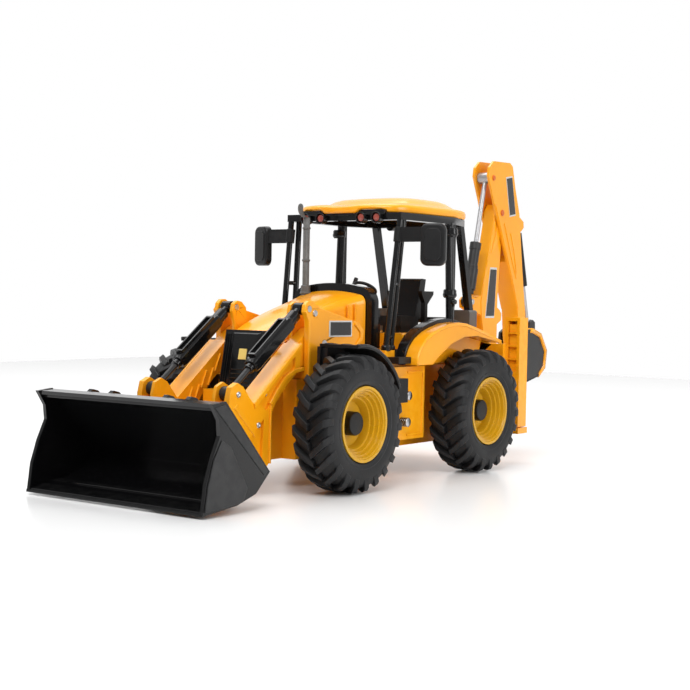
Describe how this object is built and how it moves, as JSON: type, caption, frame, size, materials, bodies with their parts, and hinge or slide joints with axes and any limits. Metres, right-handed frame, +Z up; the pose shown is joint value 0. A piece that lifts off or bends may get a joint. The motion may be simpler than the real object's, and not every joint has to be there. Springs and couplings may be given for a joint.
{
  "type": "toy backhoe loader",
  "caption": "Scale toy backhoe loader with a lifting front loader, a swinging backhoe, sliding stabilizers, steered front wheels and an open cab.",
  "frame": {"origin": "on the ground under the middle of the vehicle's length and width", "axes": "-Y is the front of the vehicle (loader bucket), +X is its left side, +Z is up; the ground is Z = 0"},
  "size_m": [0.1324, 0.4024, 0.189],
  "materials": {
    "body_yellow": "glossy moulded yellow-orange plastic",
    "rim_yellow": "satin golden yellow plastic",
    "tyre_rubber": "soft black rubber with moulded lugs",
    "black_gloss": "gloss black plastic",
    "black_matte": "fine grained black plastic",
    "dark_grey": "dark grey satin plastic",
    "mid_grey": "mid grey satin plastic",
    "ram_silver": "silver coloured plastic rod",
    "steel": "plain steel pins and screws",
    "lamp_lens": "clear lamp insert in a dark cup",
    "board_green": "circuit board laminate",
    "cell_wrap": "shrink wrapped cells",
    "motor_can": "motor can",
    "gear_white": "moulded gear plastic"
  },
  "bodies": {
    "chassis": {"chassis_tub": "body_yellow", "battery_cover": "black_matte", "battery_pack": "cell_wrap", "circuit_board": "board_green", "drive_motor": "motor_can", "front_axle_beam": "black_matte", "steering_servo": "black_matte", "hood": "body_yellow", "grille": "black_gloss", "cowl": "black_gloss", "cab_floor": "body_yellow", "cab_frame": "black_gloss", "roof": "body_yellow", "roof_lamps": "lamp_lens", "seat": "black_matte", "rear_fenders": "body_yellow", "rear_locker": "mid_grey", "exhaust_pipe": "mid_grey", "mirrors": "black_matte", "side_steps": "black_matte", "loader_towers": "body_yellow", "rear_frame": "body_yellow", "pivot_pins": "steel", "body_screws": "steel"},
    "switch": {"power_switch": "black_matte"},
    "rear_axle": {"rear_axle_shaft": "steel", "axle_gear": "gear_white", "rear_rims": "rim_yellow", "rear_tyres": "tyre_rubber"},
    "motor_shaft": {"motor_pinion": "gear_white"},
    "knuckle_left": {"steering_knuckle_left": "black_matte", "mudguard_front_left": "black_matte"},
    "knuckle_right": {"steering_knuckle_right": "black_matte", "mudguard_front_right": "black_matte"},
    "front_wheel_left": {"rim_front_left": "rim_yellow", "tyre_front_left": "tyre_rubber"},
    "front_wheel_right": {"rim_front_right": "rim_yellow", "tyre_front_right": "tyre_rubber"},
    "tie_rod": {"track_rod": "black_matte"},
    "hand_wheel": {"steering_wheel": "black_matte"},
    "loader_arms": {"loader_arm_left": "body_yellow", "loader_arm_right": "body_yellow", "arm_cross_tube": "body_yellow"},
    "front_bucket": {"loader_bucket": "black_gloss"},
    "lift_barrel_left": {"lift_ram_barrel_left": "black_gloss"},
    "lift_rod_left": {"lift_ram_rod_left": "dark_grey"},
    "lift_barrel_right": {"lift_ram_barrel_right": "black_gloss"},
    "lift_rod_right": {"lift_ram_rod_right": "dark_grey"},
    "swing_post": {"kingpost": "body_yellow"},
    "boom_arm": {"boom": "body_yellow"},
    "dipper_arm": {"dipper": "body_yellow"},
    "scoop": {"backhoe_bucket": "dark_grey"},
    "boom_barrel": {"boom_ram_barrel": "black_matte"},
    "boom_rod": {"boom_ram_rod": "ram_silver"},
    "dipper_barrel": {"dipper_ram_barrel": "dark_grey"},
    "dipper_rod": {"dipper_ram_rod": "ram_silver"},
    "scoop_barrel": {"scoop_ram_barrel": "black_matte"},
    "scoop_rod": {"scoop_ram_rod": "ram_silver"},
    "stabilizer_left": {"stabilizer_leg_left": "body_yellow"},
    "stabilizer_right": {"stabilizer_leg_right": "body_yellow"}
  },
  "joints": [
    {"name": "rear_axle_spin", "type": "hinge", "parent": "chassis", "child": "rear_axle", "pos_m": [0, 0.0354, 0.035], "axis": [1, 0, 0], "continuous": true},
    {"name": "motor_spin", "type": "hinge", "parent": "chassis", "child": "motor_shaft", "pos_m": [0, 0.0194, 0.035], "axis": [1, 0, 0], "continuous": true},
    {"name": "steer_left", "type": "hinge", "parent": "chassis", "child": "knuckle_left", "pos_m": [0.033, -0.0876, 0.035], "axis": [0, 0, 1], "range_deg": [-15, 15]},
    {"name": "steer_right", "type": "hinge", "parent": "chassis", "child": "knuckle_right", "pos_m": [-0.033, -0.0876, 0.035], "axis": [0, 0, 1], "range_deg": [-15.1, 15.1]},
    {"name": "tie_rod_slide", "type": "slide", "parent": "chassis", "child": "tie_rod", "axis": [1, 0, 0], "range_m": [-0.0032, 0.0032]},
    {"name": "front_wheel_left_spin", "type": "hinge", "parent": "knuckle_left", "child": "front_wheel_left", "pos_m": [0.0527, -0.0876, 0.035], "axis": [1, 0, 0], "continuous": true},
    {"name": "front_wheel_right_spin", "type": "hinge", "parent": "knuckle_right", "child": "front_wheel_right", "pos_m": [-0.0527, -0.0876, 0.035], "axis": [1, 0, 0], "continuous": true},
    {"name": "hand_wheel_spin", "type": "hinge", "parent": "chassis", "child": "hand_wheel", "pos_m": [0, -0.003, 0.1018], "axis": [0, 0.5, 0.866], "continuous": true},
    {"name": "switch_slide", "type": "slide", "parent": "chassis", "child": "switch", "axis": [0, 1, 0], "range_m": [0, 0.003]},
    {"name": "loader_lift", "type": "hinge", "parent": "chassis", "child": "loader_arms", "pos_m": [0, -0.0796, 0.074], "axis": [-1, 0, 0], "range_deg": [0, 35]},
    {"name": "bucket_tilt", "type": "hinge", "parent": "loader_arms", "child": "front_bucket", "pos_m": [0, -0.1476, 0.02], "axis": [1, 0, 0], "range_deg": [-30, 50]},
    {"name": "lift_ram_left_swing", "type": "hinge", "parent": "chassis", "child": "lift_barrel_left", "pos_m": [0.0243, -0.0926, 0.092], "axis": [-1, 0, 0], "range_deg": [-0.5, 38.6]},
    {"name": "lift_ram_left_stroke", "type": "slide", "parent": "lift_barrel_left", "child": "lift_rod_left", "axis": [0, -0.8017, -0.5977], "range_m": [-0.0132, 0.0004]},
    {"name": "lift_ram_right_swing", "type": "hinge", "parent": "chassis", "child": "lift_barrel_right", "pos_m": [-0.0243, -0.0926, 0.092], "axis": [-1, 0, 0], "range_deg": [-0.5, 38.6]},
    {"name": "lift_ram_right_stroke", "type": "slide", "parent": "lift_barrel_right", "child": "lift_rod_right", "axis": [0, -0.8017, -0.5977], "range_m": [-0.0132, 0.0004]},
    {"name": "backhoe_swing", "type": "hinge", "parent": "chassis", "child": "swing_post", "pos_m": [0, 0.1044, 0.05], "axis": [0, 0, 1], "range_deg": [-60, 60]},
    {"name": "boom_lower", "type": "hinge", "parent": "swing_post", "child": "boom_arm", "pos_m": [0, 0.1344, 0.056], "axis": [-1, 0, 0], "range_deg": [0, 35]},
    {"name": "boom_ram_swing", "type": "hinge", "parent": "swing_post", "child": "boom_barrel", "pos_m": [0, 0.1504, 0.028], "axis": [-1, 0, 0], "range_deg": [-0.5, 18.6]},
    {"name": "boom_ram_stroke", "type": "slide", "parent": "boom_barrel", "child": "boom_rod", "axis": [0, -0.083, 0.9965], "range_m": [-0.0109, 0.0004]},
    {"name": "dipper_extend", "type": "hinge", "parent": "boom_arm", "child": "dipper_arm", "pos_m": [0, 0.1431, 0.1555], "axis": [1, 0, 0], "range_deg": [0, 40]},
    {"name": "dipper_ram_swing", "type": "hinge", "parent": "boom_arm", "child": "dipper_barrel", "pos_m": [0, 0.1114, 0.097], "axis": [1, 0, 0], "range_deg": [-0.5, 7.6]},
    {"name": "dipper_ram_stroke", "type": "slide", "parent": "dipper_barrel", "child": "dipper_rod", "axis": [0, 0.2377, 0.9713], "range_m": [-0.0146, 0.0004]},
    {"name": "scoop_open", "type": "hinge", "parent": "dipper_arm", "child": "scoop", "pos_m": [0, 0.1744, 0.072], "axis": [-1, 0, 0], "range_deg": [0, 35]},
    {"name": "scoop_ram_swing", "type": "hinge", "parent": "dipper_arm", "child": "scoop_barrel", "pos_m": [0, 0.1734, 0.149], "axis": [-1, 0, 0], "range_deg": [-0.5, 0.8]},
    {"name": "scoop_ram_stroke", "type": "slide", "parent": "scoop_barrel", "child": "scoop_rod", "axis": [0, 0.2595, -0.9658], "range_m": [-0.0004, 0.0122]},
    {"name": "stabilizer_left_slide", "type": "slide", "parent": "chassis", "child": "stabilizer_left", "axis": [0, 0, -1], "range_m": [0, 0.0175]},
    {"name": "stabilizer_right_slide", "type": "slide", "parent": "chassis", "child": "stabilizer_right", "axis": [0, 0, -1], "range_m": [0, 0.0175]}
  ],
  "couplings": [
    {"joint": "motor_spin", "follows": "rear_axle_spin", "ratio": -3},
    {"joint": "steer_right", "follows": "steer_left", "ratio": 1},
    {"joint": "tie_rod_slide", "follows": "steer_left", "m_per_rad": -0.01193},
    {"joint": "lift_ram_left_swing", "follows": "loader_lift", "ratio": 1.0886},
    {"joint": "lift_ram_left_stroke", "follows": "loader_lift", "m_per_rad": -0.021087},
    {"joint": "lift_ram_right_swing", "follows": "loader_lift", "ratio": 1.0886},
    {"joint": "lift_ram_right_stroke", "follows": "loader_lift", "m_per_rad": -0.021087},
    {"joint": "boom_ram_swing", "follows": "boom_lower", "ratio": 0.5167},
    {"joint": "boom_ram_stroke", "follows": "boom_lower", "m_per_rad": -0.017239},
    {"joint": "dipper_ram_swing", "follows": "dipper_extend", "ratio": 0.1797},
    {"joint": "dipper_ram_stroke", "follows": "dipper_extend", "m_per_rad": -0.020464},
    {"joint": "scoop_ram_swing", "follows": "scoop_open", "ratio": 0.0046},
    {"joint": "scoop_ram_stroke", "follows": "scoop_open", "m_per_rad": 0.019343}
  ]
}
